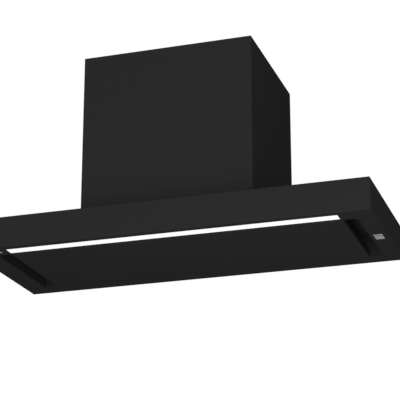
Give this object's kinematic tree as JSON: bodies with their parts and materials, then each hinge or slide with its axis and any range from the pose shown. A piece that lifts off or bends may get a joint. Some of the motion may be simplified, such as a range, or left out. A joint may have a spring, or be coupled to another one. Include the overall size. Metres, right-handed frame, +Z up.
{
  "type": "wall chimney range hood",
  "caption": "Wall-mounted chimney range hood with a slim box canopy, a drop-down suction panel between end slots, a front light strip, push keys and a deep square chimney.",
  "frame": {"origin": "the middle of the four wall screws, on the wall plane, 240 mm above the underside of the canopy and on its centre line", "axes": "+X to the right of someone who faces the hood, +Y into the wall, +Z up; the wall is the plane Y = 0 and the front faces -Y"},
  "size_m": [0.9, 0.36, 0.439],
  "materials": {
    "black_coat": "satin black powder coat",
    "galvanised": "galvanised steel sheet, dull",
    "zinc_plate": "bright zinc plate",
    "aluminium": "plain aluminium, satin",
    "key_metal": "brushed grey metal",
    "opal": "opal plastic, lit from behind",
    "black_plastic": "matt black plastic",
    "grey_plastic": "matt grey plastic",
    "white_plastic": "matt white plastic",
    "circuit_board": "green circuit board",
    "magnet": "dark ferrite magnet",
    "rubber": "matt black rubber"
  },
  "bodies": {
    "hood": {"canopy_shell": "black_coat", "base_plate": "black_coat", "filter_frame": "black_coat", "filter_frame_screws": "zinc_plate", "hinge_brackets": "zinc_plate", "hinge_pins": "zinc_plate", "panel_catches": "black_plastic", "catch_magnets": "magnet", "light_diffuser": "opal", "light_profile": "aluminium", "light_board": "circuit_board", "light_end_caps": "black_plastic", "light_driver": "black_plastic", "fan_key_housing": "black_plastic", "fan_key_board": "circuit_board", "light_key_housing": "black_plastic", "light_key_board": "circuit_board", "filter_cassette_left": "aluminium", "filter_cassette_right": "aluminium", "filter_mesh_left": "aluminium", "filter_mesh_right": "aluminium", "blower_box": "galvanised", "blower_box_screws": "zinc_plate", "scroll_half_left": "grey_plastic", "scroll_half_right": "grey_plastic", "inlet_rings": "black_plastic", "motor": "galvanised", "motor_bracket": "galvanised", "motor_bushes": "rubber", "motor_screws": "zinc_plate", "capacitor": "aluminium", "duct_collar": "black_plastic", "collar_screws": "zinc_plate", "flap_pin": "zinc_plate", "wall_plate": "galvanised", "chimney_cover": "black_coat", "cover_screws": "zinc_plate", "electronics_box": "black_plastic", "electronics_lid": "black_plastic", "electronics_screws": "zinc_plate", "control_board": "circuit_board", "terminal_block": "grey_plastic", "cable_gland": "black_plastic"},
    "panel": {"suction_panel": "black_coat", "panel_hinge_leaves": "zinc_plate", "catch_strikers": "zinc_plate"},
    "small_fan_key": {"small_fan_key": "key_metal"},
    "large_fan_key": {"large_fan_key": "key_metal"},
    "light_key": {"light_key": "key_metal"},
    "latch_left": {"filter_latch_left": "black_plastic"},
    "latch_right": {"filter_latch_right": "black_plastic"},
    "fan_wheel": {"impeller": "black_plastic", "motor_shaft": "zinc_plate"},
    "front_flap": {"front_flap": "grey_plastic"},
    "rear_flap": {"rear_flap": "grey_plastic"},
    "sleeve": {"chimney_sleeve": "black_coat", "sleeve_glides": "white_plastic", "sleeve_bracket": "galvanised", "sleeve_screws": "zinc_plate"}
  },
  "joints": [
    {"name": "panel_hinge", "type": "hinge", "parent": "hood", "child": "panel", "pos_m": [0.006, -0.048, -0.2352], "axis": [1, 0, 0], "range_deg": [0, 85]},
    {"name": "small_fan_key_press", "type": "slide", "parent": "hood", "child": "small_fan_key", "axis": [0, 0, 1], "range_m": [0, 0.001], "stiffness_N_per_m": 600, "springref_m": -0.001},
    {"name": "large_fan_key_press", "type": "slide", "parent": "hood", "child": "large_fan_key", "axis": [0, 0, 1], "range_m": [0, 0.001], "stiffness_N_per_m": 600, "springref_m": -0.001},
    {"name": "light_key_press", "type": "slide", "parent": "hood", "child": "light_key", "axis": [0, 0, 1], "range_m": [0, 0.001], "stiffness_N_per_m": 600, "springref_m": -0.001},
    {"name": "latch_left_slide", "type": "slide", "parent": "hood", "child": "latch_left", "axis": [0, 1, 0], "range_m": [0, 0.0055], "stiffness_N_per_m": 300, "springref_m": -0.003},
    {"name": "latch_right_slide", "type": "slide", "parent": "hood", "child": "latch_right", "axis": [0, 1, 0], "range_m": [0, 0.0055], "stiffness_N_per_m": 300, "springref_m": -0.003},
    {"name": "fan_wheel_spin", "type": "hinge", "parent": "hood", "child": "fan_wheel", "pos_m": [0, -0.19, -0.058], "axis": [1, 0, 0], "continuous": true},
    {"name": "front_flap_hinge", "type": "hinge", "parent": "hood", "child": "front_flap", "pos_m": [0, -0.112, 0.06], "axis": [-1, 0, 0], "range_deg": [0, 75]},
    {"name": "rear_flap_hinge", "type": "hinge", "parent": "hood", "child": "rear_flap", "pos_m": [0, -0.112, 0.06], "axis": [1, 0, 0], "range_deg": [0, 75]},
    {"name": "sleeve_slide", "type": "slide", "parent": "hood", "child": "sleeve", "axis": [0, 0, 1], "range_m": [0, 0.25]}
  ]
}
